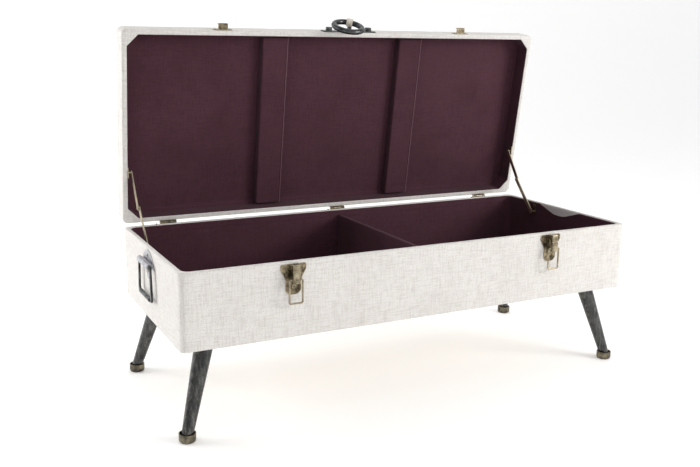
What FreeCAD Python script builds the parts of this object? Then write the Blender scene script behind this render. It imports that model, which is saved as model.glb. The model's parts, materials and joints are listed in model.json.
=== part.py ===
import FreeCAD, Part
import math
import os

from FreeCAD import Placement, Rotation, Vector

# Storage bench: a linen-covered box on four splayed legs, with a padded lid hinged at the back.
# Millimetres, +Z up, X along the bench, front towards -Y. Lid pieces are drawn with the lid shut
# and then swung open, because the stored pose is the open one.

DIMENSIONS = {
    "box_length": 1200, "box_depth": 480, "box_bottom": 206, "box_height": 170,
    "corner": 14, "linen": 1.2, "board": 8.8, "lining": 1.8, "base_board": 10, "post": 14,
    "inner_corner": 22, "skirt": 45, "lining_drop": 1.6,
    "scoop_half": 83, "scoop_depth": 19,
    "divider_board": 8, "divider_height": 145,
    "lid_gap": 3, "lid_thickness": 74, "lid_board": 9.5, "lid_top_board": 6, "lid_top_level": 48,
    "crown_radius": 16, "corner_cut": 27, "batten_width": 70, "batten_height": 22, "batten_x": 201,
    "lid_angle": 82, "hinge_back": 3.5, "hinge_rise": 1.5,
    "knuckle": 3.5, "hinge_pin": 1.5, "hinge_width": 43, "hinge_x": 485, "leaf": 1.4, "leaf_height": 24,
    "foot_x": 585, "foot_y": 218, "leg_top_x": 530, "leg_top_y": 178,
    "leg_top_radius": 21.5, "leg_end_radius": 12.8, "leg_plate": 64, "leg_plate_thick": 3,
    "foot_radius": 18.5, "foot_bore": 16.4, "foot_height": 19.5, "foot_floor": 9,
    "latch_x": 350, "latch_plate": 1.5, "latch_width": 60, "lever_width": 16.4,
    "lever_pin": 1.5, "wire": 2.1, "wire_half": 15.4, "wire_drop": 52.4,
    "catch_width": 47, "hook_width": 23.5,
    "ring_radius": 37, "ring_tube": 7, "collar_radius": 10.6, "collar_bore": 7.9, "collar_width": 16,
    "ring_reach": 23.6, "ring_droop": 21, "ring_slant": 32, "ring_level": 12, "ring_bolt_x": 58,
    "grip_pin": 3, "barrel_radius": 7.5, "barrel_half": 43.5, "grip_drop": 72, "grip_splay": 5,
    "stay_x": 577, "strip_width": 11, "strip_thick": 2, "upper_length": 96, "lower_length": 114,
    "stay_pin": 2.4, "running_gap": 0.06,
}

doc = FreeCAD.newDocument("StorageBench")
sheet = doc.addObject("Spreadsheet::Sheet", "Sizes")
for row, (alias, number) in enumerate(DIMENSIONS.items(), start=1):
    sheet.set(f"A{row}", alias)
    sheet.set(f"B{row}", str(number))
    sheet.setAlias(f"B{row}", alias)
doc.recompute()


class Size:
    """A number together with the sheet expression that gives it."""

    def __init__(self, number, text):
        self.number = float(number)
        self.text = text

    def __float__(self):
        return self.number

    def __add__(self, other):
        return Size(self.number + float(other), f"({self.text} + {expression(other)})")

    def __sub__(self, other):
        return Size(self.number - float(other), f"({self.text} - {expression(other)})")

    def __mul__(self, other):
        return Size(self.number * float(other), f"({self.text} * {expression(other)})")

    def __truediv__(self, other):
        return Size(self.number / float(other), f"({self.text} / {expression(other)})")

    def __neg__(self):
        return self * -1

    __radd__ = __add__
    __rmul__ = __mul__

    def __rsub__(self, other):
        return self * -1 + other


def expression(value):
    return value.text if isinstance(value, Size) else f"({float(value)})"


class Sheet:
    """The driving dimensions as Size values, one attribute per alias."""

    def __init__(self):
        for name in DIMENSIONS:
            setattr(self, name, Size(sheet.get(name), f"Sizes.{name}"))


d = Sheet()


def point(x, y, z):
    return Vector(float(x), float(y), float(z))


def shift(x, y, z):
    return Placement(point(x, y, z), Rotation())


def bind(thing, **sizes):
    for name, value in sizes.items():
        if isinstance(value, Size):
            thing.setExpression(name, value.text)
        else:
            setattr(thing, name, value)


# ---- parts list -------------------------------------------------------------------------------

parts = []
on_lid = []
box_screws = []
lid_screws = []


def keep(thing, label, lid=False):
    """Name a finished sub-part, and note whether it belongs to the lid."""
    thing.Label = label
    parts.append(thing)
    if lid:
        on_lid.append(thing)
    return thing


# ---- building helpers -------------------------------------------------------------------------

def box(length, width, height, x, y, z):
    """A block centred on x and y, standing on z."""
    block = doc.addObject("Part::Box", "Block")
    bind(block, Length=length, Width=width, Height=height)
    block.Placement = shift(x - length / 2, y - width / 2, z)
    return block


def rod(radius, length, start, direction):
    """A round bar from a start point along a direction."""
    bar = doc.addObject("Part::Cylinder", "Rod")
    bind(bar, Radius=radius, Height=length)
    bar.Placement = Placement(start, Rotation(Vector(0, 0, 1), direction))
    return bar


def fuse(*things):
    joined = doc.addObject("Part::MultiFuse", "Joined")
    joined.Shapes = list(things)
    joined.Refine = True
    return joined


def cut(base, *tools):
    for tool in tools:
        result = doc.addObject("Part::Cut", "Cut")
        result.Base = base
        result.Tool = tool
        base = result
    return base


def rounded(base, radius, choose):
    """Round the edges that choose picks from their middle point and direction."""
    doc.recompute()
    fillet = doc.addObject("Part::Fillet", "Rounded")
    fillet.Base = base
    picked = []
    for number, edge in enumerate(base.Shape.Edges, start=1):
        run = edge.Vertexes[-1].Point - edge.Vertexes[0].Point
        if choose(edge.CenterOfMass, run):
            picked.append((number, float(radius), float(radius)))
    fillet.Edges = picked
    return fillet


def upright(middle, run):
    return abs(run.z) > 0.5 and abs(run.x) + abs(run.y) < 1e-6


def group(*things):
    """Separate solids that share one node."""
    together = doc.addObject("Part::Compound", "Group")
    together.Links = list(things)
    return together


def copies(pattern, placements):
    """The same solid at several places, as one group."""
    links = []
    for place in placements:
        link = doc.addObject("App::Link", "Copy")
        link.LinkedObject = pattern
        link.Placement = place
        links.append(link)
    return group(*links)


def new_body(name):
    return doc.addObject("PartDesign::Body", name)


def new_sketch(body, role="XY_Plane", lift=0):
    sketch = body.newObject("Sketcher::SketchObject", "Sketch")
    support = next(f for f in body.Origin.OriginFeatures if f.Role == role)
    sketch.AttachmentSupport = [(support, "")]
    sketch.MapMode = "FlatFace"
    sketch.AttachmentOffset = shift(0, 0, lift)
    return sketch


def add_rounded_rectangle(sketch, length, width, radius):
    """A centred rounded rectangle, fully constrained, its sizes following the sheet."""
    half, deep, turn = float(length) / 2, float(width) / 2, float(radius)
    first = sketch.GeometryCount
    sides = [((turn - half, -deep), (half - turn, -deep)), ((half, turn - deep), (half, deep - turn)),
             ((half - turn, deep), (turn - half, deep)), ((-half, deep - turn), (-half, turn - deep))]
    middles = [(half - turn, turn - deep), (half - turn, deep - turn),
               (turn - half, deep - turn), (turn - half, turn - deep)]
    for quarter, ((start, end), middle) in enumerate(zip(sides, middles)):
        sketch.addGeometry(Part.LineSegment(point(*start, 0), point(*end, 0)))
        circle = Part.Circle(point(*middle, 0), Vector(0, 0, 1), turn)
        begin = (quarter - 1) * math.pi / 2
        sketch.addGeometry(Part.ArcOfCircle(circle, begin, begin + math.pi / 2))
    constraint = sketch.addConstraint
    for quarter in range(4):
        line, arc = first + 2 * quarter, first + 2 * quarter + 1
        after = first + (2 * quarter + 2) % 8
        constraint(make_constraint("Tangent", line, 2, arc, 1))
        constraint(make_constraint("Tangent", arc, 2, after, 1))
        constraint(make_constraint("Horizontal" if quarter % 2 == 0 else "Vertical", line))
        if quarter:
            constraint(make_constraint("Equal", first + 1, arc))
    constraint(make_constraint("Symmetric", first, 1, first + 4, 1, -1, 1))
    sized = [("DistanceX", (first + 6, 1, first + 2, 1), length),
             ("DistanceY", (first, 1, first + 4, 1), width), ("Radius", (first + 1,), radius)]
    for kind, places, value in sized:
        index = constraint(make_constraint(kind, *places, float(value)))
        if isinstance(value, Size):
            sketch.setExpression(f"Constraints[{index}]", value.text)


def make_constraint(*words):
    import Sketcher
    return Sketcher.Constraint(*words)


def add_circle(sketch, x, y, radius):
    index = sketch.addGeometry(Part.Circle(point(x, y, 0), Vector(0, 0, 1), float(radius)))
    ruled = sketch.addConstraint(make_constraint("Radius", index, float(radius)))
    if isinstance(radius, Size):
        sketch.setExpression(f"Constraints[{ruled}]", radius.text)


def add_outline(sketch, *corners):
    """A closed outline. A corner is (x, y), or (x, y, through_x, through_y) to arrive by an arc.

    Where the last corner arrives by an arc at the first one, that arc closes the outline.
    """
    last = corners[-1][:2]
    for corner in corners:
        start, end = point(*last, 0), point(*corner[:2], 0)
        if len(corner) == 4:
            sketch.addGeometry(Part.Arc(start, point(*corner[2:], 0), end))
        elif start != end:
            sketch.addGeometry(Part.LineSegment(start, end))
        last = corner[:2]


def pad(body, sketch, length, both_ways=False, back=False):
    feature = body.newObject("PartDesign::Pad", "Pad")
    feature.Profile = sketch
    bind(feature, Length=length, Midplane=both_ways, Reversed=back)
    return feature


def pocket(body, sketch, length=None, both_ways=False, back=False):
    """Cut the sketch out of the body, right through where no length is given."""
    doc.recompute()
    before = body.Shape.Volume
    feature = body.newObject("PartDesign::Pocket", "Pocket")
    feature.Profile = sketch
    feature.Reversed = back
    feature.Midplane = both_ways
    if length is None:
        feature.Type = 1
    else:
        bind(feature, Length=length)
    doc.recompute()
    assert body.Shape.Volume < before - 1e-3, "a pocket cut nothing"
    return feature


def turned(name, *corners):
    """A solid turned about its own Z axis from an outline in (radius, height)."""
    body = new_body(name)
    sketch = new_sketch(body, "XZ_Plane")
    add_outline(sketch, *corners)
    spin = body.newObject("PartDesign::Revolution", "Revolution")
    spin.Profile = sketch
    spin.ReferenceAxis = (sketch, ["V_Axis"])
    spin.Angle = 360
    return body


def plate_xy(name, length, width, radius, height, z):
    """A rounded plate lying flat, its underside at z."""
    body = new_body(name)
    sketch = new_sketch(body)
    add_rounded_rectangle(sketch, length, width, radius)
    pad(body, sketch, height)
    body.Placement = shift(0, 0, z)
    return body


def facing(direction, place):
    """The placement that turns a solid's own +Z towards a direction and moves it to a place."""
    return Placement(place, Rotation(Vector(0, 0, 1), direction))


LEFT, RIGHT = Vector(-1, 0, 0), Vector(1, 0, 0)
FRONT, BACK = Vector(0, -1, 0), Vector(0, 1, 0)
DOWN, UP = Vector(0, 0, -1), Vector(0, 0, 1)
SIDES = (("left", -1), ("right", 1))

length, depth = d.box_length, d.box_depth
bottom, top = d.box_bottom, d.box_bottom + d.box_height
front_face, end_face = -(depth / 2), length / 2
skin = d.linen
inner_skin = d.linen + d.board                   # from the outer face to the inside of the boards
lining_out = d.linen * 2 + d.board               # from the outer face to the back of the lining
wall = lining_out + d.lining                     # the whole wall
floor = bottom + d.base_board                    # top of the base board
rim = top + d.lid_gap                            # the lid's rim when it is shut


def inset(away):
    """Length and depth of the plan outline, an even distance inside the outer faces."""
    return length - 2 * away, depth - 2 * away


# ---- the box ----------------------------------------------------------------------------------

def small_screw(head, shank, reach):
    """A dome-headed screw, head up, its seat at the origin and its shank below."""
    rise = head * 0.55
    return turned("Screw", (0, 0 - reach), (shank, 0 - reach), (shank, 0), (head, 0),
                  (head * 0.2, rise, head * 0.75, rise * 0.7), (0, rise))


def build_box():
    panel_height = top - skin - floor
    keep(plate_xy("BasePanel", *inset(skin), d.corner - skin, d.base_board, bottom), "box_base_panel")
    for name, side in (("front", -1), ("back", 1)):
        panel = box(length - 2 * (skin + d.post), d.board, panel_height,
                    0, side * (depth / 2 - skin - d.board / 2), floor)
        keep(panel, f"box_{name}_panel")
    for name, side in SIDES:
        panel = box(d.board, depth - 2 * (skin + d.post), panel_height,
                    side * (end_face - skin - d.board / 2), 0, floor)
        keep(panel, f"box_{name}_panel")

    post = rounded(box(d.post, d.post, panel_height, 0, 0, 0), d.corner - skin,
                   lambda middle, run: upright(middle, run) and middle.x < 0 and middle.y < 0)
    spots = []
    for quarter, (sx, sy) in enumerate(((-1, -1), (1, -1), (1, 1), (-1, 1))):
        place = point(sx * (end_face - skin - d.post / 2), sy * (depth / 2 - skin - d.post / 2), floor)
        spots.append(Placement(place, Rotation(UP, 90 * quarter)))
    keep(copies(post, spots), "box_corner_posts")

    cover = new_body("BoxCover")
    outer = new_sketch(cover)
    add_rounded_rectangle(outer, length, depth, d.corner)
    pad(cover, outer, d.box_height)
    boards = new_sketch(cover)
    add_rounded_rectangle(boards, *inset(skin), d.corner - skin)
    add_rounded_rectangle(boards, *inset(inner_skin), d.inner_corner)
    pocket(cover, boards, d.box_height - skin, back=True)
    inside = new_sketch(cover)
    add_rounded_rectangle(inside, *inset(lining_out), d.inner_corner - skin)
    pocket(cover, inside, back=True)
    below_skirt = new_sketch(cover)
    add_rounded_rectangle(below_skirt, *inset(inner_skin), d.inner_corner)
    pocket(cover, below_skirt, d.box_height - d.skirt, back=True)
    cover.Placement = shift(0, 0, bottom)
    keep(cover, "box_cover")

    lining = new_body("WallLining")
    ring = new_sketch(lining)
    add_rounded_rectangle(ring, *inset(lining_out), d.inner_corner - skin)
    add_rounded_rectangle(ring, *inset(wall), d.inner_corner - skin - d.lining)
    lining_height = top - d.lining_drop - floor
    pad(lining, ring, lining_height)
    scoop = new_sketch(lining, "YZ_Plane")
    half, deep = d.scoop_half, d.scoop_depth
    crest = lining_height + 1
    add_outline(scoop, (-half, crest), (-0.18 * half, lining_height - 0.84 * deep),
                (0.18 * half, lining_height - 0.84 * deep, 0, lining_height - deep), (half, crest))
    pocket(lining, scoop, both_ways=True)
    lining.Placement = shift(0, 0, floor)
    keep(lining, "box_wall_lining")

    room = 0.2
    corner = d.inner_corner - skin - d.lining - room
    keep(plate_xy("FloorLining", *inset(wall + room), corner, d.lining, floor), "box_floor_lining")

    stand = floor + d.lining
    between = depth - 2 * (wall + room)
    board_height = d.divider_height - d.lining * 2
    board = box(d.divider_board, between, board_height, 0, 0, stand)
    keep(board, "divider_board")
    wrap = box(d.divider_board + 2 * d.lining, between, d.divider_height - d.lining, 0, 0, stand)
    hollow = box(d.divider_board, between, board_height, 0, 0, stand)
    keep(cut(wrap, hollow), "divider_cover")


# ---- legs -------------------------------------------------------------------------------------

def build_legs():
    plate_bottom = bottom - d.leg_plate_thick
    axis_level = 15                               # height at which leg and foot are concentric
    slope_x = (d.foot_x - d.leg_top_x) / (plate_bottom - axis_level)
    slope_y = (d.foot_y - d.leg_top_y) / (plate_bottom - axis_level)
    end_x = d.foot_x + slope_x * (axis_level - d.foot_floor)
    end_y = d.foot_y + slope_y * (axis_level - d.foot_floor)
    corners = {"front_left": (-1, -1), "front_right": (1, -1), "back_left": (-1, 1), "back_right": (1, 1)}
    plate = plate_xy("LegPlate", d.leg_plate, d.leg_plate, 6, d.leg_plate_thick, 0)
    bolt = small_screw(4.2, 2, d.leg_plate_thick + 7)
    cup = turned("Foot", (0, 0), (d.foot_radius - 5, 0),
                 (d.foot_radius, 5, d.foot_radius - 1.46, 1.46), (d.foot_radius, d.foot_height),
                 (d.foot_bore, d.foot_height), (d.foot_bore, d.foot_floor), (0, d.foot_floor))
    plates, bolts, feet = [], [], []
    for name, (sx, sy) in corners.items():
        leg = doc.addObject("Part::Loft", "Leg")
        sections = []
        for radius, x, y, z in ((d.leg_end_radius, end_x, end_y, d.foot_floor),
                                (d.leg_top_radius, d.leg_top_x, d.leg_top_y, plate_bottom)):
            circle = doc.addObject("Part::Circle", "LegEdge")
            bind(circle, Radius=radius)
            circle.Placement = shift(sx * x, sy * y, z)
            sections.append(circle)
        leg.Sections = sections
        leg.Solid = True
        leg.Ruled = True
        keep(leg, f"leg_{name}")
        plates.append(shift(sx * d.leg_top_x, sy * d.leg_top_y, plate_bottom))
        feet.append(shift(sx * d.foot_x, sy * d.foot_y, 0))
        reach = d.leg_plate / 2 - 6.5
        for bx in (-1, 1):
            for by in (-1, 1):
                seat = point(sx * d.leg_top_x + bx * reach, sy * d.leg_top_y + by * reach, plate_bottom)
                bolts.append(facing(DOWN, seat))
    keep(copies(plate, plates), "leg_plates")
    keep(copies(bolt, bolts), "leg_plate_screws")
    keep(copies(cup, feet), "feet")


# ---- the lid ----------------------------------------------------------------------------------

def octagon(sketch, away, chamfer):
    """The plan outline of the tray, with its corners cut off straight."""
    half, deep = length / 2 - away, depth / 2 - away
    corners = []
    for sx, sy, lengthwise in ((1, 1, True), (-1, 1, False), (-1, -1, True), (1, -1, False)):
        first, second = (sx * half, sy * (deep - chamfer)), (sx * (half - chamfer), sy * deep)
        corners += [first, second] if lengthwise else [second, first]
    add_outline(sketch, *corners)


def build_lid():
    under_top = d.lid_top_level
    lid_lining_out = skin + d.lid_board
    lid_wall = lid_lining_out + d.lining
    rail_height = under_top - skin
    for name, side in (("front", -1), ("back", 1)):
        rail = box(length - 2 * (skin + d.post), d.lid_board, rail_height,
                   0, side * (depth / 2 - skin - d.lid_board / 2), rim + skin)
        keep(rail, f"lid_{name}_rail", lid=True)
    for name, side in SIDES:
        rail = box(d.lid_board, depth - 2 * (skin + d.post), rail_height,
                   side * (end_face - skin - d.lid_board / 2), 0, rim + skin)
        keep(rail, f"lid_{name}_rail", lid=True)

    chamfer_board = d.corner_cut - 0.8            # measured on the board side of the lining
    blocks = new_body("CornerBlock")
    plan = new_sketch(blocks)
    turn, post, thick = d.corner - skin, d.post, d.lid_board
    bend = turn * (1 - math.sqrt(0.5))
    add_outline(plan, (turn, 0), (post, 0), (post, thick), (thick + chamfer_board, thick),
                (thick, thick + chamfer_board), (thick, post), (0, post), (0, turn),
                (turn, 0, bend, bend))
    pad(blocks, plan, rail_height)
    spots = []
    for quarter, (sx, sy) in enumerate(((-1, -1), (1, -1), (1, 1), (-1, 1))):
        place = point(sx * (end_face - skin), sy * (depth / 2 - skin), rim + skin)
        spots.append(Placement(place, Rotation(UP, 90 * quarter)))
    keep(copies(blocks, spots), "lid_corner_blocks", lid=True)

    keep(plate_xy("LidTop", *inset(skin), d.corner - skin, d.lid_top_board, rim + under_top),
         "lid_top_board", lid=True)
    foam_bottom = rim + under_top + d.lid_top_board
    foam_height = d.lid_thickness - skin - under_top - d.lid_top_board
    foam = rounded(plate_xy("Foam", *inset(skin), d.corner - skin, foam_height, foam_bottom),
                   d.crown_radius - skin, lambda middle, run: middle.z > float(foam_bottom) + 5
                   and abs(run.z) < 1e-6)
    keep(foam, "lid_foam_pad", lid=True)

    shell = rounded(plate_xy("LidSkin", length, depth, d.corner, d.lid_thickness, rim),
                    d.crown_radius, lambda middle, run: middle.z > float(rim + d.lid_thickness) - 1
                    and abs(run.z) < 1e-6)
    core_height = d.lid_thickness - 2 * skin
    core = rounded(plate_xy("LidCore", *inset(skin), d.corner - skin, core_height, rim + skin),
                   d.crown_radius - skin,
                   lambda middle, run: middle.z > float(rim + core_height) and abs(run.z) < 1e-6)
    mouth = new_body("LidMouth")
    opening = new_sketch(mouth)
    octagon(opening, lid_wall, d.corner_cut)
    pad(mouth, opening, skin * 4)
    mouth.Placement = shift(0, 0, rim - skin)
    keep(cut(shell, core, mouth), "lid_cover", lid=True)

    lining = new_body("LidWallLining")
    ring = new_sketch(lining)
    octagon(ring, lid_lining_out, chamfer_board + 0.05)
    octagon(ring, lid_wall, d.corner_cut)
    pad(lining, ring, under_top - skin - d.lining)
    lining.Placement = shift(0, 0, rim + skin)
    keep(lining, "lid_wall_lining", lid=True)
    ceiling = new_body("LidPanelLining")
    sheet_plan = new_sketch(ceiling)
    octagon(sheet_plan, lid_lining_out, chamfer_board + 0.05)
    pad(ceiling, sheet_plan, d.lining)
    ceiling.Placement = shift(0, 0, rim + under_top - d.lining)
    keep(ceiling, "lid_panel_lining", lid=True)

    batten_length = depth - 2 * (lid_wall + 6)
    for name, side in SIDES:
        batten = rounded(box(d.batten_width, batten_length, d.batten_height, side * d.batten_x, 0,
                             rim + under_top - d.lining - d.batten_height), 4,
                         lambda middle, run: middle.z < float(rim) + 40 and abs(run.y) > 1)
        keep(batten, f"lid_batten_{name}", lid=True)


# ---- hinges -----------------------------------------------------------------------------------

def build_hinges():
    axis_y, axis_z = depth / 2 + d.hinge_back, rim - d.hinge_rise
    spots = [-1 * d.hinge_x, Size(0, "0"), d.hinge_x]
    half = d.hinge_width / 2
    third = d.hinge_width / 3
    bore = d.hinge_pin + d.running_gap

    def leaf(down):
        """One leaf and its share of the knuckles; the middle knuckle belongs to the lid."""
        if down:
            plate = box(d.hinge_width, d.leaf, d.leaf_height, 0, d.leaf / 2 + 0.02, -d.leaf_height - 1.6)
            barrels = [(-half, third - 0.3), (third / 2 + 0.3, third - 0.3)]
        else:
            plate = box(d.hinge_width, d.leaf, d.leaf_height, 0, d.leaf / 2 + 0.02, Size(1.6, "1.6"))
            barrels = [(-third / 2, third)]
        pieces, bores = [plate], []
        for start, run in barrels:
            pieces.append(rod(d.knuckle, run, point(start, d.hinge_back, 0), RIGHT))
            web_z = -3.2 if down else 0.9
            pieces.append(box(run, d.leaf + 1.1, Size(2.3, "2.3"), start + run / 2,
                              d.leaf / 2 + 0.57, Size(web_z, str(web_z))))
        solid = fuse(*pieces)
        clear = box(d.hinge_width, d.leaf * 6, d.leaf_height * 3, 0, -d.leaf * 3 + 0.02, -d.leaf_height)
        if down:
            clash = rod(d.knuckle + 0.3, third + 0.3, point(-third / 2 - 0.15, d.hinge_back, 0), RIGHT)
        else:
            side_left = rod(d.knuckle + 0.3, third, point(-half, d.hinge_back, 0), RIGHT)
            side_right = rod(d.knuckle + 0.3, third, point(third / 2 + 0.15, d.hinge_back, 0), RIGHT)
            clash = fuse(side_left, side_right)
        hole = rod(bore, d.hinge_width * 2, point(-d.hinge_width, d.hinge_back, 0), RIGHT)
        return cut(solid, clear, clash, hole)

    places = [shift(x, depth / 2, axis_z) for x in spots]
    keep(copies(leaf(True), places), "hinge_box_leaves")
    keep(copies(leaf(False), places), "hinge_lid_leaves", lid=True)
    pin = rod(d.hinge_pin, d.hinge_width, point(0, 0, 0), UP)
    keep(copies(pin, [facing(RIGHT, point(x - half, axis_y, axis_z)) for x in spots]), "hinge_pins")

    screw = small_screw(2.8, 1.2, d.leaf + 7)
    seat = depth / 2 + d.leaf + 0.02
    low, high = [], []
    for x in spots:
        for side in (-1, 1):
            low.append(facing(BACK, point(x + side * 13, seat, axis_z - 15)))
            high.append(facing(BACK, point(x + side * 13, seat, axis_z + 15)))
    box_screws.append(copies(screw, low))
    lid_screws.append(copies(screw, high))

    stud = turned("Stud", (0, -4), (1.2, -4), (1.2, 0), (2, 0), (2, 1.2), (1, 2.2, 1.7, 1.9), (0, 2.2))
    keep(copies(stud, [shift(x - 33, depth / 2 - wall / 2, top) for x in spots]), "rim_studs")


# ---- latches ----------------------------------------------------------------------------------

LEVER_PIVOT = (8, 160)                            # out from the plate, above the box's underside
WIRE_PIVOT = (14.5, 133)


def build_latches():
    plate_face = front_face - d.latch_plate
    ears_in = d.lever_width / 2 + 0.4
    plate = new_body("LatchPlate")
    shield = new_sketch(plate, "XZ_Plane")
    half = float(d.latch_width) / 2
    add_outline(shield, (-half, 160), (-half + 4, 164.6, -half + 1.2, 163.4), (half - 4, 164.6),
                (half, 160, half - 1.2, 163.4), (half, 152), (21, 136), (18, 128), (18, 108),
                (0, 97, 13.5, 100.2), (-18, 108, -13.5, 100.2), (-18, 128), (-21, 136), (-half, 152))
    pad(plate, shield, d.latch_plate)
    ears = []
    for side in (-1, 1):
        ear = new_body("LatchEar")
        cheek = new_sketch(ear, "YZ_Plane")
        out, level = LEVER_PIVOT
        add_outline(cheek, (-1, level - 7), (-out, level - 5), (-out, level + 4.6, -out - 4.8, level - 0.2),
                    (-1, level + 4.6))
        pad(ear, cheek, 1.6, both_ways=True)
        ear.Placement = shift(side * (ears_in + 0.8), -d.latch_plate + 0.5, 0)
        ears.append(ear)
    rivet_hole = rod(2.2, d.latch_plate * 4, point(0, d.latch_plate * 2, 116), FRONT)
    solid = cut(fuse(plate, *ears), rivet_hole)

    lever = new_body("LatchLever")
    side_view = new_sketch(lever, "YZ_Plane")
    add_outline(side_view, (-4.6, 165.4), (-8, 166.6, -6, 166.4), (-15.6, 166.2),
                (-18, 163.8, -17.2, 165.6), (-18, 149.4), (-19.8, 147), (-19.8, 128),
                (-16.4, 124, -18.8, 125), (-12.6, 124), (-10.4, 127, -10.9, 125), (-10.4, 150),
                (-4.6, 156))
    pad(lever, side_view, d.lever_width, both_ways=True)
    pivot = rod(d.lever_pin + d.running_gap, d.lever_width * 2,
                point(-d.lever_width, -LEVER_PIVOT[0], LEVER_PIVOT[1]), RIGHT)
    eye = rod(d.wire + d.running_gap, d.lever_width * 2,
              point(-d.lever_width, -WIRE_PIVOT[0], WIRE_PIVOT[1]), RIGHT)
    lever_solid = rounded(cut(lever, pivot, eye), 1.6, lambda middle, run: abs(middle.x) > 8
                          and middle.y < -17.9 and abs(run.x) < 1e-6 and abs(run.z) > 10)

    loop = new_body("LatchLoop")
    route = new_sketch(loop, "XZ_Plane")
    across, bend, drop = d.wire_half, 4, d.wire_drop
    bow = bend * (1 - math.sqrt(0.5))
    end = 4.6
    pieces = [((-end, 0), (bend - across, 0)), None, ((-across, -bend), (-across, bend - drop)), None,
              ((bend - across, -drop), (across - bend, -drop)), None,
              ((across, bend - drop), (across, -bend)), None, ((across - bend, 0), (end, 0))]
    turns = iter([((bend - across, 0), (bow - across, -bow), (-across, -bend)),
                  ((-across, bend - drop), (bow - across, bow - drop), (bend - across, -drop)),
                  ((across - bend, -drop), (across - bow, bow - drop), (across, bend - drop)),
                  ((across, -bend), (across - bow, -bow), (across - bend, 0))])
    for piece in pieces:
        if piece is None:
            start, middle, finish = next(turns)
            route.addGeometry(Part.Arc(point(*start, 0), point(*middle, 0), point(*finish, 0)))
        else:
            route.addGeometry(Part.LineSegment(point(*piece[0], 0), point(*piece[1], 0)))
    section = new_sketch(loop, "YZ_Plane", lift=-end)
    add_circle(section, 0, 0, d.wire)
    pipe = loop.newObject("PartDesign::AdditivePipe", "Wire")
    pipe.Profile = section
    pipe.Spine = (route, [f"Edge{n}" for n in range(1, 10)])

    pin_length = 2 * (ears_in + 1.6)
    pin = rod(d.lever_pin, pin_length, point(0, 0, 0), UP)
    pins, domes, tubes = [], [], []
    dome = small_screw(3.6, 1.4, d.latch_plate + 6)
    tube = turned("TubeRivet", (2.4, 0), (5, 0), (4.6, 1.3, 5, 0.9), (3.4, 1.7), (2.4, 1.2), (2.4, 0))
    for name, side in SIDES:
        x = side * d.latch_x
        here = shift(x, front_face, bottom)
        for pattern, label, place in (
                (solid, f"latch_plate_{name}", here),
                (lever_solid, f"latch_lever_{name}", shift(x, plate_face, bottom)),
                (loop, f"latch_loop_{name}",
                 shift(x, plate_face - WIRE_PIVOT[0], bottom + WIRE_PIVOT[1]))):
            keep(copies(pattern, [place]), label)
        pins.append(facing(RIGHT, point(x - pin_length / 2, plate_face - LEVER_PIVOT[0],
                                        bottom + LEVER_PIVOT[1])))
        tubes.append(facing(FRONT, point(x, plate_face, bottom + 116)))
        domes += [facing(FRONT, point(x + across * 1.55, plate_face, bottom + 154))
                  for across in (-14, 14)]
    keep(copies(pin, pins), "latch_pins")
    keep(group(copies(tube, tubes), copies(dome, domes)), "latch_rivets")

    catch_base = box(d.catch_width, Size(1.5, "1.5"), 18, 0, -0.75, 2)
    hook = new_body("CatchHook")
    hook_side = new_sketch(hook, "YZ_Plane")
    add_outline(hook_side, (-0.5, 5), (-13, 5), (-16, 8, -15.1, 5.9), (-16, 14), (-12.6, 14),
                (-12.6, 10), (-0.5, 10))
    pad(hook, hook_side, d.hook_width, both_ways=True)
    catch = fuse(rounded(catch_base, 3, lambda middle, run: abs(run.y) > 1), hook)
    for name, side in SIDES:
        keep(copies(catch, [shift(side * d.latch_x, front_face, rim)]), f"latch_catch_{name}", lid=True)
    seats = [facing(FRONT, point(side * d.latch_x + across * 18, front_face - 1.5, rim + 11))
             for _, side in SIDES for across in (-1, 1)]
    lid_screws.append(copies(small_screw(2.8, 1.2, 8), seats))


# ---- the ring pull ----------------------------------------------------------------------------

def build_ring():
    level = d.ring_level
    plate = new_body("RingPlate")
    face = new_sketch(plate, "XZ_Plane")
    add_outline(face, (-77, 7), (-77, 23), (-72, 28, -75.5, 26.5), (72, 28), (77, 23, 75.5, 26.5),
                (77, 7), (72, 2, 75.5, 3.5), (-72, 2), (-77, 7, -75.5, 3.5))
    pad(plate, face, 2.6)
    neck_end = d.ring_reach - d.collar_bore - 0.4
    necks = []
    for name in ("Neck", "NeckEnd"):
        neck = doc.addObject("Part::Cone", name)
        bind(neck, Radius1=7.5, Radius2=5, Height=neck_end)
        neck.Placement = facing(FRONT, point(0, front_face, rim + level))
        necks.append(neck)
    plate.Placement = shift(0, front_face, rim)
    keep(fuse(plate, necks[0]), "ring_plate", lid=True)

    open_angle = math.radians(180 + float(d.ring_droop) + float(d.lid_angle))
    slant = math.radians(float(d.ring_slant))
    towards = Vector(-math.sin(slant), math.cos(slant) * math.cos(open_angle),
                     math.cos(slant) * math.sin(open_angle))
    across = Vector(0, -math.sin(open_angle), math.cos(open_angle))
    held_at = point(0, front_face - d.ring_reach, rim + level)

    half, bore, outer = d.collar_width / 2, d.collar_bore, d.collar_radius
    mouth = outer - 0.5
    collar = turned("Collar", (bore, 0), (mouth, half, bore + 0.5, half * 0.6), (outer, half),
                    (outer, -half), (mouth, -half), (bore, 0, bore + 0.5, half * -0.6))
    collar.Placement = facing(across.cross(towards), held_at)
    keep(cut(collar, necks[1]), "ring_collar", lid=True)

    ring = doc.addObject("Part::Torus", "Ring")
    bind(ring, Radius1=d.ring_radius, Radius2=d.ring_tube)
    ring.Placement = facing(across, held_at + towards * float(d.ring_radius))
    keep(ring, "ring_pull", lid=True)

    bolt = turned("RingBolt", (0, -9), (2.5, -9), (2.5, 0), (8.4, 0), (8.4, 7.6),
                  (7.2, 8.8, 8.05, 8.45), (0, 8.8))
    bolts = [facing(FRONT, point(side * d.ring_bolt_x, front_face - 2.6, rim + 15))
             for _, side in SIDES]
    keep(copies(bolt, bolts), "ring_plate_bolts", lid=True)


# ---- side handles -----------------------------------------------------------------------------

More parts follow.
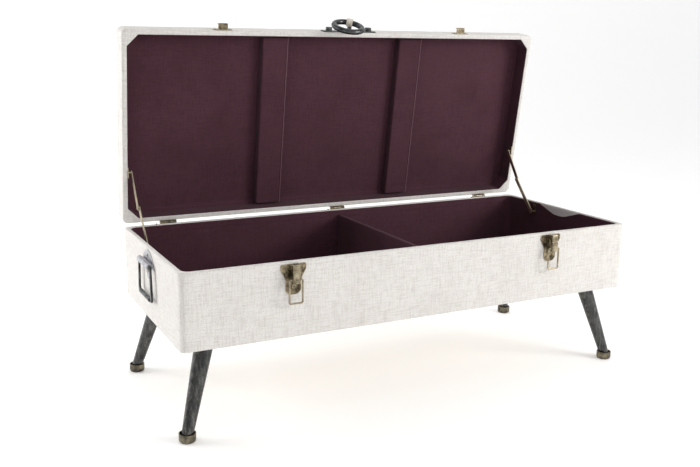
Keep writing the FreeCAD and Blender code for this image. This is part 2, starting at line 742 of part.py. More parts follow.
GRIP_AXIS = (9.5, 136)                            # out from the end face, above the box's underside


def build_side_handles():
    out, level = GRIP_AXIS
    plate = new_body("GripPlate")
    face = new_sketch(plate, "XZ_Plane")
    barrel = float(d.barrel_half)
    add_outline(face, (-barrel, level - 9), (-barrel, level + 5), (barrel, level + 5, 0, level + 29),
                (barrel, level - 9), (17, level - 15, 30, level - 11),
                (-17, level - 15, 0, level - 38), (-barrel, level - 9, -30, level - 11))
    pad(plate, face, 1.6)
    roll = rod(d.barrel_radius, d.barrel_half * 2, point(-d.barrel_half, -out, level), RIGHT)
    web = box(d.barrel_half * 2, Size(out, str(out)), 6, 0, -out / 2, level - 3)
    bore = rod(d.grip_pin + d.running_gap, d.barrel_half * 4, point(-2 * d.barrel_half, -out, level), RIGHT)
    plate_solid = cut(fuse(plate, roll, web), bore)

    bail = new_body("Bail")
    shape = new_sketch(bail, "XZ_Plane")
    inner = float(d.barrel_half) + 0.6
    eye = 4.2
    outer = inner + 2 * eye
    low, splay = -float(d.grip_drop), float(d.grip_splay)
    toe_in, toe_out = inner + splay, outer + splay
    add_outline(shape, (-outer, 0), (-inner, 0, -inner - eye, eye), (-toe_in, low + 8),
                (-toe_in + 8, low, -toe_in + 2.34, low + 2.34), (toe_in - 8, low),
                (toe_in, low + 8, toe_in - 2.34, low + 2.34), (inner, 0),
                (outer, 0, inner + eye, eye), (toe_out, low - 1),
                (toe_out - 7, low - 8, toe_out - 2.05, low - 5.95), (-toe_out + 7, low - 8),
                (-toe_out, low - 1, -toe_out + 2.05, low - 5.95))
    pad(bail, shape, 5, both_ways=True)
    soft = rounded(bail, 1.8, lambda middle, run: abs(middle.y) > 2.4 and abs(middle.z) > 8)
    pieces = [soft]
    for side in (-1, 1):
        pieces.append(rod(d.grip_pin, 14, point(side * (inner + 2), 0, 0), Vector(-side, 0, 0)))
    grip = rod(5.2, 2 * inner - 6, point(3 - inner, 0, low - 4), RIGHT)
    bail_solid = fuse(*pieces, grip)

    screw = small_screw(3.6, 1.6, 9)
    screws = []
    for name, side in SIDES:
        turn = Rotation(UP, -90 if side < 0 else 90)
        here = Placement(point(side * end_face, 0, bottom), turn)
        keep(copies(plate_solid, [here]), f"side_handle_plate_{name}")
        centre = point(side * (end_face + out), 0, bottom + level)
        keep(copies(bail_solid, [Placement(centre, turn)]), f"side_handle_bail_{name}")
        outward = Vector(side, 0, 0)
        screws += [facing(outward, point(side * (end_face + 1.6), 0, bottom + level + rise))
                   for rise in (17, -20)]
    box_screws.append(copies(screw, screws))


# ---- lid stays --------------------------------------------------------------------------------

LID_PIVOT = (-11.3, 134.9)                        # from the hinge axis, lid open, (y, z)
BOX_PIVOT = (-139.9, -30.5)


def strip(run, has_head_up):
    """A flat stay arm along its own X, pivot hole at the origin, half a rivet at the far end."""
    arm = new_body("StayArm")
    plan = new_sketch(arm)
    half = d.strip_width / 2
    add_outline(plan, (run, half), (0, half), (0, -half, -half, 0), (run, -half),
                (run, half, run + half, 0))
    add_circle(plan, 0, 0, d.stay_pin + d.running_gap)
    pad(arm, plan, d.strip_thick)
    level = d.strip_thick if has_head_up else Size(0, "0")
    head = rod(3.6, 1.2, point(run, 0, level), UP if has_head_up else DOWN)
    return fuse(arm, head)


def build_stays():
    axis_y, axis_z = depth / 2 + d.hinge_back, rim - d.hinge_rise
    lid_y, lid_z = axis_y + LID_PIVOT[0], axis_z + LID_PIVOT[1]
    box_y, box_z = axis_y + BOX_PIVOT[0], axis_z + BOX_PIVOT[1]
    gap_y, gap_z = float(lid_y - box_y), float(lid_z - box_z)
    span = math.hypot(gap_y, gap_z)
    upper, lower = float(d.upper_length), float(d.lower_length)
    along = (lower ** 2 - upper ** 2 + span ** 2) / (2 * span)
    aside = math.sqrt(lower ** 2 - along ** 2)
    unit_y, unit_z = gap_y / span, gap_z / span
    elbow_y = float(box_y) + along * unit_y + aside * unit_z
    elbow_z = float(box_z) + along * unit_z - aside * unit_y
    lower_angle = math.degrees(math.atan2(elbow_z - float(box_z), elbow_y - float(box_y)))
    upper_angle = math.degrees(math.atan2(elbow_z - float(lid_z), elbow_y - float(lid_y)))

    outer_face = end_face - wall                  # the box lining's inner face
    box_brackets, lid_brackets = [], []
    for name, side in SIDES:
        for level, angle, run, label, on_the_lid in (
                (side * (d.stay_x - 3.3), lower_angle, d.lower_length, "lower", False),
                (side * d.stay_x, upper_angle, d.upper_length, "upper", True)):
            turn = math.radians(angle)
            along_arm = Vector(0, math.cos(turn), math.sin(turn))
            sideways = Vector(0, -math.sin(turn), math.cos(turn))
            place = Rotation(along_arm, sideways, RIGHT, "ZXY")
            y, z = (lid_y, lid_z) if on_the_lid else (box_y, box_z)
            head_up = (side > 0) == on_the_lid
            arm = strip(run, head_up)
            keep(copies(arm, [Placement(point(level - d.strip_thick / 2, y, z), place)]),
                 f"stay_{label}_arm_{name}")
        for y, z, tip, bin_of in ((box_y, box_z + 9, d.stay_x - 5, box_brackets),
                                  (lid_y, lid_z, d.stay_x - 1.6, lid_brackets)):
            face = outer_face if bin_of is box_brackets else end_face - skin - d.lid_board - d.lining
            base = box(2, 15, 26, side * (face - 1), y, z - 13)
            pin_z = box_z if bin_of is box_brackets else z
            stub = rod(d.stay_pin, face - tip, point(side * face, y, pin_z), Vector(-side, 0, 0))
            bin_of.append(fuse(base, stub))
    keep(group(*box_brackets), "stay_box_brackets")
    keep(group(*lid_brackets), "stay_lid_brackets")
    print("stay angles", lower_angle, upper_angle, "elbow", elbow_y, elbow_z)


build_box()
build_legs()
build_lid()
build_hinges()
build_latches()
build_ring()
build_side_handles()
build_stays()
keep(group(*box_screws), "box_screws")
keep(group(*lid_screws), "lid_screws", lid=True)
doc.recompute()

# ---- open the lid and centre the whole ----------------------------------------------------------

hinge_axis = point(0, depth / 2 + d.hinge_back, rim - d.hinge_rise)
lid_open = Placement(Vector(0, 0, 0), Rotation(RIGHT, -float(d.lid_angle)), hinge_axis)
for thing in on_lid:
    thing.Placement = lid_open * thing.Placement
doc.recompute()

whole = FreeCAD.BoundBox()
for thing in parts:
    whole.add(thing.Shape.BoundBox)
centring = shift(-whole.Center.x, -whole.Center.y, 0)
for thing in parts:
    thing.Placement = centring * thing.Placement
doc.recompute()
print("size", whole.XLength, whole.YLength, whole.ZLength, "moved by", -whole.Center.x, -whole.Center.y)

# ---- check and write ----------------------------------------------------------------------------

for thing in doc.Objects:
    if "Invalid" in thing.State or "Error" in thing.State:
        raise RuntimeError(f"{thing.Name} ({thing.Label}) did not build")
for thing in parts:
    if thing.Shape.isNull() or not thing.Shape.isValid() or not thing.Shape.Solids:
        raise RuntimeError(f"{thing.Label} is not a sound solid")

os.makedirs("parts", exist_ok=True)
for thing in parts:
    thing.Shape.exportStep(f"parts/{thing.Label}.step")
print(len(parts), "sub-parts written")
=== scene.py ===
import json
import math

import bmesh
import bpy
import numpy as np
from mathutils import Matrix, Vector, noise


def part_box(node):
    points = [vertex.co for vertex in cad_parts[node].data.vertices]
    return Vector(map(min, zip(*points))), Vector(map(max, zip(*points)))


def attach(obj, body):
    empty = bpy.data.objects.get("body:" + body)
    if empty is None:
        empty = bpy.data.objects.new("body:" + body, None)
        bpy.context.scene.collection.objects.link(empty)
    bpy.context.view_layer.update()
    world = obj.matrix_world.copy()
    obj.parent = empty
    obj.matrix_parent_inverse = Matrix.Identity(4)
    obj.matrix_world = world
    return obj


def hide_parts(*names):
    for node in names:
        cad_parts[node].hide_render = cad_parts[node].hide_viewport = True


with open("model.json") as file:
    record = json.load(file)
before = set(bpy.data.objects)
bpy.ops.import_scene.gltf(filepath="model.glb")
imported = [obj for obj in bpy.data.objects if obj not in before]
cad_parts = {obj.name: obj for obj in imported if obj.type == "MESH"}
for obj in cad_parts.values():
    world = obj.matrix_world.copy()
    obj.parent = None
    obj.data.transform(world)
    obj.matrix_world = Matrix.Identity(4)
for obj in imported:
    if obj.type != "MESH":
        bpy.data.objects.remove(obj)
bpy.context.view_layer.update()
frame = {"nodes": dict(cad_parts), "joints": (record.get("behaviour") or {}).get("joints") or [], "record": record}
nodes = frame["nodes"]
joints = {joint["name"]: joint for joint in frame["joints"]}
MM = 0.001

# ---- places taken from the frame ----------------------------------------------------------------

box_low, box_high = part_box("box_cover")
LENGTH, DEPTH = box_high.x - box_low.x, box_high.y - box_low.y
MIDDLE_Y = (box_low.y + box_high.y) / 2
BOTTOM, TOP = box_low.z, box_high.z
hinge = Vector(joints["lid_hinge"]["pos_m"])
OPEN_ANGLE = math.radians(joints["lid_hinge"]["range_deg"][1])
RIM = 2 * hinge.z - TOP                          # the lid's rim plane when the lid is shut
SHUT_TO_OPEN = (Matrix.Translation(hinge) @ Matrix.Rotation(-OPEN_ANGLE, 4, "X")
                @ Matrix.Translation(-hinge))
OPEN_TO_SHUT = SHUT_TO_OPEN.inverted()


def shut_box(node):
    """Lowest and highest corner of a lid node with the lid shut."""
    corners = np.array([OPEN_TO_SHUT @ vertex.co for vertex in nodes[node].data.vertices])
    return Vector(corners.min(0)), Vector(corners.max(0))


LID_TOP = shut_box("lid_cover")[1].z
PANEL_LEVEL = shut_box("lid_panel_lining")[0].z  # the visible face of the lining under the seat
SEAM_X = (shut_box("lid_batten_right")[0].x + shut_box("lid_batten_right")[1].x) / 2
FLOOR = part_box("box_floor_lining")[1].z

# ---- camera, floor and light --------------------------------------------------------------------

CAMERA_ANGLES = (26.34, 12.53, 0.64)             # azimuth, elevation and roll, in degrees
CAMERA_PLACE = (-1.0577, MIDDLE_Y - 1.8283, 0.8332)
CAMERA_SHIFT = (0.0332, -0.0066)
FOCAL_SHARE = 1.2052                             # focal length over picture width
SENSOR = 36
SWEEP_START, SWEEP_RADIUS, SWEEP_STEPS = 2.6, 1.6, 24
STUDIO_HALF, BACKDROP_HEIGHT = 7.0, 6.0
STUDIO_GLOW = 0.17
AIR_LEFT, AIR_RIGHT = 0.45, 1.0                  # how bright the surroundings are at either side


def make_camera():
    azimuth, elevation, roll = (math.radians(angle) for angle in CAMERA_ANGLES)
    forward = Vector((math.sin(azimuth) * math.cos(elevation),
                      math.cos(azimuth) * math.cos(elevation), -math.sin(elevation)))
    level = forward.cross(Vector((0, 0, 1))).normalized()
    above = level.cross(forward)
    right = level * math.cos(roll) + above * math.sin(roll)
    up = above * math.cos(roll) - level * math.sin(roll)
    data = bpy.data.cameras.new("camera")
    camera = bpy.data.objects.new("camera", data)
    bpy.context.scene.collection.objects.link(camera)
    data.sensor_width = SENSOR
    data.lens = SENSOR * FOCAL_SHARE
    data.shift_x, data.shift_y = CAMERA_SHIFT
    place = Matrix((right, up, -forward)).transposed().to_4x4()
    place.translation = Vector(CAMERA_PLACE)
    camera.matrix_world = place
    data.clip_start, data.clip_end = 0.05, 50
    bpy.context.scene.camera = camera


def area_light(name, place, target, size, power, tint=(1, 1, 1)):
    data = bpy.data.lights.new(name, "AREA")
    data.shape = "RECTANGLE"
    data.size, data.size_y = size
    data.energy = power
    data.color = tint
    light = bpy.data.objects.new(name, data)
    light.location = place
    light.rotation_euler = (Vector(target) - Vector(place)).to_track_quat("-Z", "Y").to_euler()
    bpy.context.scene.collection.objects.link(light)


def make_studio():
    """A floor that sweeps up into a backdrop, surroundings brighter to the right, and three lights."""
    profile = [(-STUDIO_HALF, 0.0), (SWEEP_START, 0.0)]
    profile += [(SWEEP_START + SWEEP_RADIUS * math.sin(a), SWEEP_RADIUS * (1 - math.cos(a)))
                for a in np.linspace(0, math.pi / 2, SWEEP_STEPS)[1:]]
    profile.append((SWEEP_START + SWEEP_RADIUS, BACKDROP_HEIGHT))
    points = [(x, y, z) for y, z in profile for x in (-STUDIO_HALF, STUDIO_HALF)]
    faces = [(2 * i, 2 * i + 1, 2 * i + 3, 2 * i + 2) for i in range(len(profile) - 1)]
    mesh = bpy.data.meshes.new("studio")
    mesh.from_pydata(points, [], faces)
    mesh.shade_smooth()
    studio = bpy.data.objects.new("studio", mesh)
    bpy.context.scene.collection.objects.link(studio)
    pale = Shader("studio_pale")
    pale.surface(color=(0.93, 0.93, 0.93, 1), roughness=0.7, Emission_Color=(1, 1, 1, 1),
                 Emission_Strength=STUDIO_GLOW)
    studio.data.materials.append(pale.material)
    world = bpy.data.worlds.new("studio_air")
    world.use_nodes = True
    air = world.node_tree.nodes["Background"]
    air.inputs["Color"].default_value = (1, 1, 1, 1)
    toward = world.node_tree.nodes.new("ShaderNodeTexCoord").outputs["Generated"]
    split = world.node_tree.nodes.new("ShaderNodeSeparateXYZ")
    level = world.node_tree.nodes.new("ShaderNodeMapRange")
    for name, number in (("From Min", -1), ("From Max", 1), ("To Min", AIR_LEFT),
                         ("To Max", AIR_RIGHT)):
        level.inputs[name].default_value = number
    world.node_tree.links.new(toward, split.inputs[0])
    world.node_tree.links.new(split.outputs["X"], level.inputs["Value"])
    world.node_tree.links.new(level.outputs["Result"], air.inputs["Strength"])
    bpy.context.scene.world = world
    bpy.context.scene.view_settings.view_transform = "Standard"
    area_light("key", (2.1, -1.9, 1.3), (0, 0.1, 0.45), (1.2, 0.9), 40, (1, 0.995, 0.985))
    area_light("left", (-2.6, 1.3, 1.2), (-0.6, 0, 0.35), (1.8, 1.2), 44)
    area_light("top", (0.2, 1.6, 3.2), (0, 0.1, 0.3), (2.4, 1.2), 9)


# ---- materials ----------------------------------------------------------------------------------

class Shader:
    """A node material being put together, with one Principled shader."""

    def __init__(self, name):
        self.material = bpy.data.materials.new(name)
        self.material.use_nodes = True
        self.tree = self.material.node_tree
        self.shader = self.tree.nodes["Principled BSDF"]
        self.place = self.node("ShaderNodeTexCoord").outputs["Object"]

    def node(self, kind, **settings):
        made = self.tree.nodes.new(kind)
        for name, value in settings.items():
            setattr(made, name, value)
        return made

    def feed(self, socket, value):
        if isinstance(value, bpy.types.NodeSocket):
            self.tree.links.new(value, socket)
        else:
            socket.default_value = value

    def surface(self, color, roughness, metallic=0.0, **others):
        self.feed(self.shader.inputs["Roughness"], roughness)
        self.feed(self.shader.inputs["Metallic"], metallic)
        self.feed(self.shader.inputs["Base Color"], color)
        for name, value in others.items():
            self.feed(self.shader.inputs[name.replace("_", " ")], value)

    def turned(self, angle):
        """Turn the pattern's place about X, for pieces stored with the lid open."""
        made = self.node("ShaderNodeMapping")
        made.inputs["Rotation"].default_value = (angle, 0, 0)
        self.feed(made.inputs["Vector"], self.place)
        self.place = made.outputs["Vector"]

    def stretched(self, scale):
        made = self.node("ShaderNodeMapping")
        made.inputs["Scale"].default_value = scale
        self.feed(made.inputs["Vector"], self.place)
        return made.outputs["Vector"]

    def noise(self, scale, detail, vector=None):
        made = self.node("ShaderNodeTexNoise")
        made.inputs["Scale"].default_value = scale
        made.inputs["Detail"].default_value = detail
        made.inputs["Roughness"].default_value = 0.55
        self.feed(made.inputs["Vector"], self.place if vector is None else vector)
        return made.outputs["Fac"]

    def band(self, direction, period, distortion):
        """A sine across one axis, with its period in metres."""
        made = self.node("ShaderNodeTexWave", wave_type="BANDS", bands_direction=direction)
        made.inputs["Scale"].default_value = 2 * math.pi / 20 / period
        made.inputs["Distortion"].default_value = distortion
        made.inputs["Detail"].default_value = 1
        made.inputs["Detail Scale"].default_value = 2
        self.feed(made.inputs["Vector"], self.place)
        return made.outputs["Fac"]

    def math(self, operation, first, second):
        made = self.node("ShaderNodeMath", operation=operation)
        self.feed(made.inputs[0], first)
        self.feed(made.inputs[1], second)
        return made.outputs[0]

    def between(self, value, low, high, out_low=0.0, out_high=1.0):
        made = self.node("ShaderNodeMapRange")
        self.feed(made.inputs["Value"], value)
        for name, number in (("From Min", low), ("From Max", high), ("To Min", out_low),
                             ("To Max", out_high)):
            made.inputs[name].default_value = number
        return made.outputs["Result"]

    def mix(self, share, first, second):
        made = self.node("ShaderNodeMix", data_type="RGBA")
        self.feed(made.inputs[0], share)
        self.feed(made.inputs[6], first)
        self.feed(made.inputs[7], second)
        return made.outputs[2]

    def bump(self, height, distance, strength):
        made = self.node("ShaderNodeBump")
        made.inputs["Distance"].default_value = distance
        made.inputs["Strength"].default_value = strength
        self.feed(made.inputs["Height"], height)
        self.feed(self.shader.inputs["Normal"], made.outputs["Normal"])

    def edges(self, radius):
        """About 1 on edges and 0 on flat faces."""
        soft = self.node("ShaderNodeBevel", samples=4)
        soft.inputs["Radius"].default_value = radius
        geometry = self.node("ShaderNodeNewGeometry")
        dot = self.node("ShaderNodeVectorMath", operation="DOT_PRODUCT")
        self.feed(dot.inputs[0], soft.outputs["Normal"])
        self.feed(dot.inputs[1], geometry.outputs["Normal"])
        return self.between(dot.outputs["Value"], 0.97, 0.85)


def cloth_material(name, tones, thread, turn=0.0, slub=1.0, sheen=0.15, relief=0.0005):
    """Plain-woven cloth: crossing threads, thick slubs along each axis, and slow changes of tone."""
    cloth = Shader(name)
    if turn:
        cloth.turned(turn)
    pale, mid, dark = tones
    weave = cloth.math("ADD", cloth.band("X", thread, 0.6), cloth.band("Y", thread, 0.6))
    weave = cloth.math("ADD", weave, cloth.band("Z", thread, 0.6))
    weave = cloth.math("MULTIPLY", weave, 0.4)
    fine, along = 0.45 / thread, 0.045 / thread
    streaks = None
    for scale in ((along, fine, fine), (fine, along, fine), (fine, fine, along)):
        streak = cloth.between(cloth.noise(1.0, 2, cloth.stretched(scale)), 0.44, 0.76)
        streaks = streak if streaks is None else cloth.math("ADD", streaks, streak)
    streaks = cloth.math("MULTIPLY", streaks, slub)
    mottle = cloth.between(cloth.noise(7.0, 4), 0.35, 0.65)
    nap = cloth.between(cloth.noise(0.8 / thread, 2), 0.3, 0.7, 0.0, 0.8)
    tone = cloth.mix(cloth.math("MAXIMUM", mottle, nap), pale, mid)
    tone = cloth.mix(cloth.between(streaks, 0.1, 1.9, 0.0, 0.8), tone, dark)
    threads = cloth.between(weave, 0.2, 0.9, 0.0, 0.16)
    tone = cloth.mix(threads, tone, pale)
    cloth.surface(color=tone, roughness=0.92, Sheen_Weight=sheen, Sheen_Roughness=0.5,
                  Specular_IOR_Level=0.2)
    height = cloth.math("ADD", weave, cloth.math("MULTIPLY", streaks, 0.8))
    cloth.bump(height, relief, 0.8)
    return cloth.material


def metal_material(name, dark, worn, roughness, streak=None, wear=0.6, metallic=1.0, grain=60.0,
                   rubbed_edge=1.2 * MM):
    """Aged metal: cloudy tarnish, scratches, and a brighter worn tone along the edges."""
    metal = Shader(name)
    clouds = metal.between(metal.noise(grain, 5), 0.38, 0.68)
    if streak is not None:
        rubbed = metal.between(metal.noise(1.0, 4, metal.stretched(streak)), 0.47, 0.66)
        clouds = metal.math("MAXIMUM", metal.math("MULTIPLY", clouds, 0.55), rubbed)
    edge = metal.math("MULTIPLY", metal.edges(rubbed_edge), wear)
    share = metal.math("MAXIMUM", metal.math("MULTIPLY", clouds, 0.6), edge)
    tone = metal.mix(share, (*dark, 1), (*worn, 1))
    dull = metal.between(metal.noise(grain * 3, 4), 0.3, 0.7, roughness + 0.14, roughness - 0.06)
    metal.surface(color=tone, roughness=dull, metallic=metallic)
    metal.bump(metal.noise(grain * 12, 3), 0.00012, 0.5)
    return metal.material


def wood_material(name):
    wood = Shader(name)
    grain = wood.noise(1.0, 5, wood.stretched((3, 70, 70)))
    pores = wood.noise(1.0, 2, wood.stretched((14, 900, 900)))
    tone = wood.mix(wood.between(grain, 0.35, 0.65), (0.52, 0.45, 0.37, 1), (0.66, 0.59, 0.50, 1))
    tone = wood.mix(wood.between(pores, 0.6, 0.75, 0, 0.5), tone, (0.34, 0.27, 0.20, 1))
    wood.surface(color=tone, roughness=0.7)
    wood.bump(pores, 0.0003, 0.6)
    return wood.material


def plain_material(name, pale, dark, roughness, grain):
    """Cast or moulded material with a fine, slightly uneven surface."""
    plain = Shader(name)
    share = plain.between(plain.noise(grain, 4), 0.35, 0.65)
    plain.surface(color=plain.mix(share, pale, dark), roughness=roughness)
    plain.bump(plain.noise(grain * 8, 3), 0.0001, 0.5)
    return plain.material


LINEN = ((0.80, 0.775, 0.745, 1), (0.745, 0.715, 0.685, 1), (0.53, 0.49, 0.45, 1))
# A paler copy of the linen, given to the skirt turned down inside the box wall: painted light that lifts the shade
# in there.
LINEN_PAINTED_LIGHTER = ((0.86, 0.83, 0.81, 1), (0.78, 0.74, 0.73, 1), (0.58, 0.53, 0.52, 1))
PLUM = ((0.087, 0.034, 0.048, 1), (0.067, 0.024, 0.035, 1), (0.024, 0.007, 0.012, 1))
# Paler plum for the crest of each batten's welt: a painted highlight.
PLUM_PAINTED_HIGHLIGHT = ((0.19, 0.105, 0.125, 1), (0.15, 0.078, 0.095, 1), (0.08, 0.036, 0.046, 1))
BRASS_BY_NAME = {"latch_loop_": "loop_brass", "latch_lever_": "lever_brass"}
SOFT_EDGES = {"old_brass": 0.35, "dark_metal": 0.4, "grey_metal": 0.3, "foot_metal": 0.5,
              "stay_brass": 0.25, "collar": 0.3}  # in millimetres, by the record's slot
EDGE_ANGLE = math.radians(40)
LINEN_THREAD, LINING_THREAD = 1.5 * MM, 1.2 * MM
PLUM_SETTINGS = {"slub": 0.55, "sheen": 0.04, "relief": 0.0003}

materials = {
    "linen": cloth_material("linen_cloth", LINEN, LINEN_THREAD),
    "lid_linen": cloth_material("linen_cloth_on_lid", LINEN, LINEN_THREAD, OPEN_ANGLE),
    "linen_painted_lighter": cloth_material("linen_cloth_painted_lighter", LINEN_PAINTED_LIGHTER, LINING_THREAD, slub=0.5),
    "lining": cloth_material("plum_cloth", PLUM, LINING_THREAD, **PLUM_SETTINGS),
    "lid_lining": cloth_material("plum_cloth_on_lid", PLUM, LINING_THREAD, OPEN_ANGLE, **PLUM_SETTINGS),
    "lid_lining_painted_highlight": cloth_material("plum_cloth_painted_highlight", PLUM_PAINTED_HIGHLIGHT, LINING_THREAD, OPEN_ANGLE,
                                      **PLUM_SETTINGS),
    "board": wood_material("sawn_board"),
    "foam": plain_material("foam", (0.82, 0.76, 0.55, 1), (0.70, 0.62, 0.40, 1), 0.95, 400),
    "leg_metal": metal_material("rubbed_gunmetal", (0.042, 0.043, 0.044), (0.21, 0.205, 0.19), 0.26,
                                streak=(170, 170, 7), wear=0.5, metallic=0.9),
    "foot_metal": metal_material("foot_bronze", (0.055, 0.052, 0.045), (0.42, 0.36, 0.24), 0.36, wear=0.8),
    "dark_metal": metal_material("dark_bronze", (0.026, 0.028, 0.031), (0.17, 0.17, 0.17), 0.28, wear=0.7),
    "grey_metal": metal_material("grey_steel", (0.33, 0.33, 0.35), (0.62, 0.62, 0.65), 0.32),
    "collar": plain_material("cream_collar", (0.74, 0.69, 0.60, 1), (0.60, 0.54, 0.45, 1), 0.45, 120),
    "stay_brass": metal_material("stay_brass", (0.36, 0.31, 0.22), (0.72, 0.64, 0.48), 0.34, wear=0.5),
    "old_brass": metal_material("old_brass", (0.070, 0.055, 0.034), (0.52, 0.43, 0.28), 0.32, wear=1.0,
                                grain=110.0, rubbed_edge=2.4 * MM),
    "loop_brass": metal_material("loop_brass", (0.26, 0.215, 0.15), (0.66, 0.57, 0.41), 0.30),
    "lever_brass": metal_material("lever_brass", (0.150, 0.122, 0.078), (0.74, 0.64, 0.46), 0.28,
                                  wear=1.0, rubbed_edge=2.2 * MM),
}


def finish_cad_nodes():
    """Give every CAD node its own finish, and soften the edges of the metal fittings."""
    for entry in frame["record"]["subparts"]:
        node, slot = nodes[entry["node"]], entry["material_slot"]
        node.data.materials.clear()
        finish = next((brass for start, brass in BRASS_BY_NAME.items()
                       if entry["node"].startswith(start)), slot)
        node.data.materials.append(materials[finish])
        if slot in SOFT_EDGES:
            bevel = node.modifiers.new("soft_edges", "BEVEL")
            bevel.width = SOFT_EDGES[slot] * MM
            bevel.segments = 2
            bevel.limit_method = "ANGLE"
            bevel.angle_limit = EDGE_ANGLE
            bevel.use_clamp_overlap = True


# ---- soft pieces: plan outlines and lofts -------------------------------------------------------
# Rows are given in millimetres: how far inside the bench's outer faces, the corner, and the height.

LONG_RUN, SHORT_RUN, CORNER_RUN = 150, 60, 8     # points along a side, an end and a corner
HALF_LENGTH, HALF_DEPTH = LENGTH / 2 / MM, DEPTH / 2 / MM


def outline(away, corner, cut=False):
    """Points round the plan outline, counterclockwise, in millimetres from the bench's middle."""
    x, y = HALF_LENGTH - away, HALF_DEPTH - away
    c = corner
    stops = [(c - x, -y), (x - c, -y), (x, c - y), (x, y - c), (x - c, y), (c - x, y), (-x, y - c),
             (-x, c - y)]
    centres = [(x - c, c - y), (x - c, y - c), (c - x, y - c), (c - x, c - y)]
    points = []
    for side in range(4):
        begin, end = np.array(stops[2 * side], float), np.array(stops[2 * side + 1], float)
        count = SHORT_RUN if side % 2 else LONG_RUN
        share = np.linspace(0, 1, count, endpoint=False)[:, None]
        points.append(begin + (end - begin) * share)
        following = np.array(stops[(2 * side + 2) % 8], float)
        share = np.linspace(0, 1, CORNER_RUN, endpoint=False)[:, None]
        if cut:
            points.append(end + (following - end) * share)
        else:
            angle = (share[:, 0] + side - 1) * math.pi / 2
            points.append(np.array(centres[side]) + c * np.stack([np.cos(angle), np.sin(angle)], 1))
    return np.concatenate(points)


def loft_rows(rows):
    """Stack outlines: rows of (away, corner, height) or (away, corner, height, cut)."""
    count = len(outline(0, 1))
    return np.array([np.column_stack([outline(*row[:2], *row[3:]), np.full(count, row[2])])
                     for row in rows])


def outward(ring):
    """The direction away from the bench at each point of a ring."""
    along = np.roll(ring, -1, 0) - np.roll(ring, 1, 0)
    normal = np.column_stack([along[:, 1], -along[:, 0]])
    return normal / np.linalg.norm(normal, axis=1)[:, None]


def ripple(points, size, seed):
    """Smooth, repeatable unevenness between -1 and 1, about size millimetres long."""
    return np.array([noise.noise(Vector(point) / size + Vector((seed, 0, 0))) for point in points])


def to_frame(points, on_lid):
    """From millimetres about the bench's middle, lid shut, to places in the frame."""
    places = [Vector((x * MM, y * MM + MIDDLE_Y, z * MM)) for x, y, z in points]
    return [SHUT_TO_OPEN @ place for place in places] if on_lid else places


def link_piece(name, mesh):
    """Turn the faces outwards and put the mesh in the scene."""
    edit = bmesh.new()
    edit.from_mesh(mesh)
    bmesh.ops.recalc_face_normals(edit, faces=edit.faces)
    edit.to_mesh(mesh)
    edit.free()
    piece = bpy.data.objects.new(name, mesh)
    bpy.context.scene.collection.objects.link(piece)
    return piece


def make_piece(name, points, faces, finishes, on_lid=False, face_finish=None):
    mesh = bpy.data.meshes.new(name)
    mesh.from_pydata(to_frame(points, on_lid), [], faces)
    for finish in finishes:
        mesh.materials.append(materials[finish])
    if face_finish is not None:
        mesh.polygons.foreach_set("material_index", face_finish)
    mesh.shade_smooth()
    return link_piece(name, mesh)


def loft_faces(rows, count, closed=False, cap_last=False):
    """Faces between rings of count points; closed also joins the last ring to the first."""
    faces = []
    for row in range(rows if closed else rows - 1):
        first, second = row * count, (row + 1) % rows * count
        faces += [(first + i, first + (i + 1) % count, second + (i + 1) % count, second + i)
                  for i in range(count)]
    if cap_last:
        faces.append(tuple(range((rows - 1) * count, rows * count)))
    return faces


def bell(value, width):
    """1 at 0, falling smoothly on both sides."""
    return np.exp(-(value / width) ** 2)


def spaced(first, last, step):
    """Evenly spaced numbers from first to last, about step apart."""
    return list(np.linspace(first, last, max(2, int(abs(last - first) / step) + 1)))


# ---- the linen round the box --------------------------------------------------------------------

BOX_TOP, BOX_BOTTOM = TOP / MM, BOTTOM / MM
SKIRT, RIM_WIDTH = 45, 13                        # down inside the wall, and over the rim
SKIRT_END = BOX_TOP - SKIRT


def make_box_linen():
    rows = [(1.2, 12.8, BOX_BOTTOM + 0.6), (0.5, 13.5, BOX_BOTTOM + 0.1), (0.0, 14, BOX_BOTTOM + 1.2)]
    rows += [(0, 14, height) for height in spaced(BOX_BOTTOM + 6, BOX_TOP - 5, 8)]
    rows += [(0.3, 13.7, BOX_TOP - 2.6), (1.3, 13, BOX_TOP - 0.8), (3.2, 13.6, BOX_TOP),
             (6, 16, BOX_TOP + 0.1), (8.8, 19, BOX_TOP - 0.1), (10.4, 20.4, BOX_TOP - 1),
             (11.1, 20.8, BOX_TOP - 3)]
    inner_start = len(rows) - 1
    rows += [(11.2, 20.8, height) for height in spaced(BOX_TOP - 8, SKIRT_END, 8)]
    back_start = len(rows)
    rows += [(10.1, 21.9, SKIRT_END), (10.1, 21.9, BOX_TOP - 1.3), (1.2, 12.8, BOX_TOP - 1.3)]
    grid = loft_rows(rows)
    for index in range(2, back_start):
        ring = grid[index]
        swell = 0.28 * ripple(ring, 55, 3) + 0.16 * ripple(ring, 17, 9)
        if index < inner_start - 4:
            ring[:, :2] += outward(ring)[:, :2] * (swell - 0.12)[:, None]
        elif index < inner_start:
            ring[:, 2] += 0.9 * swell
    count = grid.shape[1]
    faces = loft_faces(len(rows), count, closed=True)
    # the skirt's faces inside the wall take the paler copy of the linen: painted light lifting the shade there
    painted_light_faces = [1 if inner_start <= face // count < back_start else 0 for face in range(len(faces))]
    piece = make_piece("box_linen", grid.reshape(-1, 3), faces, ("linen", "linen_painted_lighter"), face_finish=painted_light_faces)
    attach(piece, "root")
    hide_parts("box_cover")


# ---- the box's linings --------------------------------------------------------------------------

SCOOP_HALF, SCOOP_KNEE, SCOOP_DEPTH = 83, 28, 21.5


def scoop(points):
    """How far the lining's top edge dips at each point, in the middle of both ends."""
    across = np.abs(points[:, 1])
    slope = np.interp(across, [0, SCOOP_KNEE * 0.6, SCOOP_KNEE, SCOOP_HALF], [1, 0.97, 0.86, 0])
    at_end = np.abs(points[:, 0]) > HALF_LENGTH - 16
    return np.where(at_end, slope * SCOOP_DEPTH, 0)


